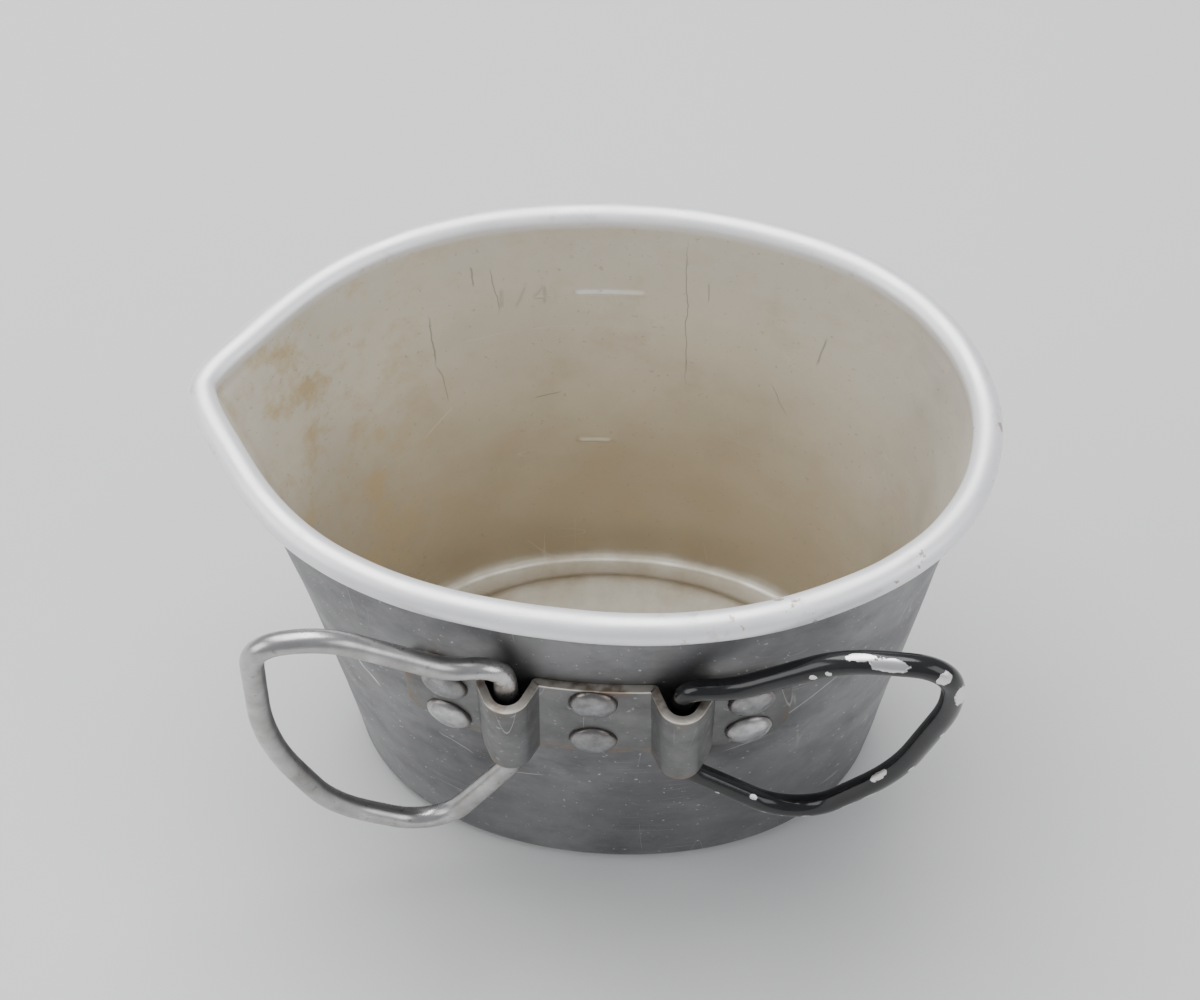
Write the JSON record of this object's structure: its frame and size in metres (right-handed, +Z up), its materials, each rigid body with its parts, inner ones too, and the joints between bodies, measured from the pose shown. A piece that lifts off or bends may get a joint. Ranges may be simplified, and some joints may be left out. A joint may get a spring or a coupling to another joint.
{
  "type": "measuring cup",
  "caption": "Oval aluminium measuring cup with a pinched pouring spout, a rolled rim and folding wire handles riveted on one long side.",
  "frame": {"origin": "centre of the oval foot, on the plane the cup rests on", "axes": "+Z up, -Y the side with the bracket and handles, -X the spout"},
  "size_m": [0.1124, 0.0813, 0.0783],
  "materials": {
    "aluminium_body": "satin",
    "bracket_sheet": "satin",
    "rivet_metal": "satin",
    "bare_wire": "satin",
    "painted_wire": "gloss"
  },
  "bodies": {
    "cup": {"cup_body": "aluminium_body", "handle_bracket": "bracket_sheet", "rivet_centre_upper": "rivet_metal", "rivet_centre_lower": "rivet_metal", "rivet_left_upper": "rivet_metal", "rivet_left_lower": "rivet_metal", "rivet_right_upper": "rivet_metal", "rivet_right_lower": "rivet_metal"},
    "handle_left": {"handle_left": "bare_wire"},
    "handle_right": {"handle_right": "painted_wire"}
  },
  "joints": [
    {"name": "handle_left_swing", "type": "hinge", "parent": "cup", "child": "handle_left", "pos_m": [-0.013, -0.03441, 0.0496], "axis": [0, -0.0868, 0.9962], "range_deg": [-17, 81]},
    {"name": "handle_right_swing", "type": "hinge", "parent": "cup", "child": "handle_right", "pos_m": [0.011, -0.03466, 0.0496], "axis": [0, 0.0824, -0.9966], "range_deg": [-11, 89]}
  ]
}
